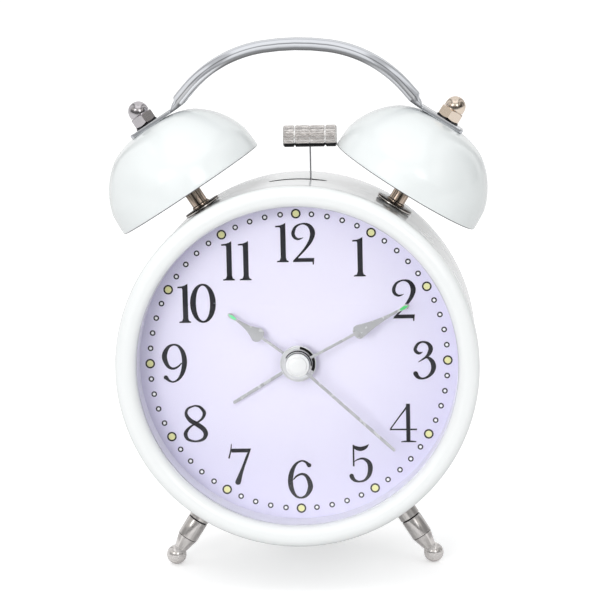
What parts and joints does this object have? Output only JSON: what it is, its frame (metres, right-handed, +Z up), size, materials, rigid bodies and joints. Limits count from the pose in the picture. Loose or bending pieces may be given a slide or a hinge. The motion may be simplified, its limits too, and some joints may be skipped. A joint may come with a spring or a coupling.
{
  "type": "twin bell alarm clock",
  "caption": "Round twin-bell desk alarm clock with a strap handle, a hammer between the bells, ball feet and a battery movement with setting knobs behind.",
  "frame": {"origin": "on the table, under the middle of the object's box", "axes": "+X to the clock's right as seen from the front, +Y from the dial to the back, +Z up; the case leans back 6 degrees on its ball feet and rear foot"},
  "size_m": [0.1194, 0.0734, 0.1671],
  "materials": {
    "white_enamel": "gloss enamel, cool white",
    "white_plastic": "moulded, fine satin",
    "clear_glass": "clear float glass",
    "dial_paint": "matt pale lavender print",
    "grey_plastic": "moulded, satin",
    "chrome_strap": "bright nickel-chrome plate",
    "nickel": "bright nickel plate",
    "warm_nickel": "bright nickel plate, warm tone",
    "dark_nickel": "dark nickel, knurled",
    "bronzed_steel": "dark bronze nickel",
    "leg_nickel": "turned, satin nickel",
    "steel": "plain steel",
    "gear_plastic": "moulded acetal",
    "hand_metal": "silver grey",
    "cap_white": "gloss",
    "cell_sleeve": "plain printed sleeve",
    "spring_steel": "nickel plated strip",
    "board_green": "solder mask",
    "winding": "enamelled wire on a plastic core",
    "switch_grey": "moulded, ribbed"
  },
  "bodies": {
    "case": {"bezel_ring": "white_enamel", "crystal_lens": "clear_glass", "dial_shroud": "white_plastic", "dial_plate": "dial_paint", "case_drum": "white_enamel", "dial_carrier": "grey_plastic", "rear_cover": "white_plastic", "rear_cover_screws": "steel", "battery_cell": "cell_sleeve", "battery_contact_plus": "spring_steel", "battery_contact_minus": "spring_steel", "carry_handle": "chrome_strap", "hammer_pivot_pin": "steel", "bell_bracket": "steel", "bell_motor": "steel", "movement_front_shell": "grey_plastic", "movement_back_shell": "grey_plastic", "movement_screws": "steel", "circuit_board": "board_green", "coil_bobbin": "winding", "stator_plate": "steel", "bell_left": "white_enamel", "bell_right": "white_enamel", "bell_post_left": "bronzed_steel", "bell_post_right": "bronzed_steel", "acorn_nut_left": "nickel", "acorn_nut_right": "warm_nickel", "leg_left": "leg_nickel", "leg_right": "leg_nickel", "post_washers": "bronzed_steel", "bell_studs": "steel", "stud_nuts": "steel", "lock_washers": "steel", "leg_nuts": "steel"},
    "seconds": {"second_hand": "hand_metal", "hand_cap": "cap_white", "seconds_wheel": "gear_plastic"},
    "fifth": {"fifth_wheel": "gear_plastic"},
    "rotor": {"rotor": "gear_plastic"},
    "third": {"third_wheel": "gear_plastic"},
    "centre": {"centre_wheel": "gear_plastic"},
    "minutes": {"minute_hand": "hand_metal", "cannon_pinion": "gear_plastic"},
    "minute_wheel": {"minute_wheel": "gear_plastic"},
    "hours": {"hour_hand": "hand_metal", "hour_wheel": "gear_plastic"},
    "time_setting": {"time_set_knob": "white_plastic", "time_set_arbor": "gear_plastic"},
    "alarm": {"alarm_hand": "hand_metal", "alarm_wheel": "gear_plastic"},
    "alarm_setting": {"alarm_set_knob": "white_plastic", "alarm_set_arbor": "gear_plastic"},
    "crank": {"crank_wheel": "gear_plastic"},
    "motor": {"motor_pinion": "steel"},
    "hammer": {"hammer_lever": "steel", "hammer_wire": "steel", "hammer_head": "dark_nickel"},
    "alarm_switch": {"alarm_switch_slider": "switch_grey"},
    "battery_door": {"battery_door": "white_plastic"}
  },
  "joints": [
    {"name": "seconds_spin", "type": "hinge", "parent": "case", "child": "seconds", "pos_m": [0, -0.02123, 0.06978], "axis": [0, 0.9945, -0.1045], "continuous": true},
    {"name": "fifth_spin", "type": "hinge", "parent": "case", "child": "fifth", "pos_m": [-0.00594, -0.00371, 0.07391], "axis": [0, 0.9945, -0.1045], "continuous": true},
    {"name": "rotor_spin", "type": "hinge", "parent": "case", "child": "rotor", "pos_m": [-0.00976, -0.0053, 0.07792], "axis": [0, 0.9945, -0.1045], "continuous": true},
    {"name": "third_spin", "type": "hinge", "parent": "case", "child": "third", "pos_m": [0.00611, -0.00618, 0.07434], "axis": [0, 0.9945, -0.1045], "continuous": true},
    {"name": "centre_spin", "type": "hinge", "parent": "case", "child": "centre", "pos_m": [0, -0.00781, 0.06837], "axis": [0, 0.9945, -0.1045], "continuous": true},
    {"name": "minutes_spin", "type": "hinge", "parent": "case", "child": "minutes", "pos_m": [0, -0.01626, 0.06926], "axis": [0, 0.9945, -0.1045], "continuous": true},
    {"name": "minute_wheel_spin", "type": "hinge", "parent": "case", "child": "minute_wheel", "pos_m": [-0.00812, -0.00961, 0.06559], "axis": [0, 0.9945, -0.1045], "continuous": true},
    {"name": "hours_spin", "type": "hinge", "parent": "case", "child": "hours", "pos_m": [0, -0.01427, 0.06905], "axis": [0, 0.9945, -0.1045], "continuous": true},
    {"name": "time_setting_spin", "type": "hinge", "parent": "case", "child": "time_setting", "pos_m": [-0.01624, 0.0229, 0.0592], "axis": [0, 0.9945, -0.1045], "continuous": true},
    {"name": "alarm_spin", "type": "hinge", "parent": "case", "child": "alarm", "pos_m": [0, -0.01328, 0.06895], "axis": [0, 0.9945, -0.1045], "continuous": true},
    {"name": "alarm_setting_spin", "type": "hinge", "parent": "case", "child": "alarm_setting", "pos_m": [0.00921, 0.02317, 0.06175], "axis": [0, 0.9945, -0.1045], "continuous": true},
    {"name": "crank_spin", "type": "hinge", "parent": "case", "child": "crank", "pos_m": [0, 0.0043, 0.07836], "axis": [0, 0.9945, -0.1045], "continuous": true},
    {"name": "motor_spin", "type": "hinge", "parent": "case", "child": "motor", "pos_m": [0.00693, 0.00522, 0.08229], "axis": [0, 0.9945, -0.1045], "continuous": true},
    {"name": "hammer_swing", "type": "hinge", "parent": "case", "child": "hammer", "pos_m": [0, 0.00315, 0.09135], "axis": [0, 0.9945, -0.1045], "range_deg": [-10.6, 0]},
    {"name": "alarm_switch_slide", "type": "slide", "parent": "case", "child": "alarm_switch", "axis": [1, 0, 0], "range_m": [0, 0.0034]},
    {"name": "battery_door_swing", "type": "hinge", "parent": "case", "child": "battery_door", "pos_m": [0, 0.02598, 0.02631], "axis": [-1, 0, 0], "range_deg": [0, 90]}
  ],
  "couplings": [
    {"joint": "fifth_spin", "follows": "seconds_spin", "ratio": -6},
    {"joint": "rotor_spin", "follows": "seconds_spin", "ratio": 30},
    {"joint": "third_spin", "follows": "seconds_spin", "ratio": -0.13333},
    {"joint": "centre_spin", "follows": "seconds_spin", "ratio": 0.016667},
    {"joint": "minute_wheel_spin", "follows": "minutes_spin", "ratio": -0.33333},
    {"joint": "hours_spin", "follows": "minutes_spin", "ratio": 0.083333},
    {"joint": "time_setting_spin", "follows": "minutes_spin", "ratio": 1},
    {"joint": "alarm_setting_spin", "follows": "alarm_spin", "ratio": -2.5},
    {"joint": "motor_spin", "follows": "crank_spin", "ratio": -4}
  ]
}
